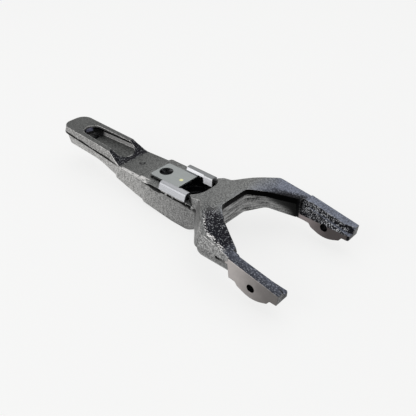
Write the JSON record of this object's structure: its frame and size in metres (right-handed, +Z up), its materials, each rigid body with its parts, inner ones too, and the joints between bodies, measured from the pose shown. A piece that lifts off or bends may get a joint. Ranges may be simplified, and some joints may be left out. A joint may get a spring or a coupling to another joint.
{
  "type": "clutch fork",
  "caption": "Forged clutch release fork with a push rod slot, a ball pocket with a spring-steel retaining clip, and two bored tines.",
  "frame": {"origin": "centre of the tine bore, midway between the tines", "axes": "+X along the fork from the push rod head to the tine tips, +Y across the fork along the tine bore, +Z up out of the side with the ball pocket"},
  "size_m": [0.2296, 0.0852, 0.0321],
  "materials": {
    "forged_steel": "shot-blasted forging scale",
    "spring_steel": "satin plated"
  },
  "bodies": {
    "root": {"fork_body": "forged_steel", "retaining_clip": "spring_steel"}
  },
  "joints": []
}
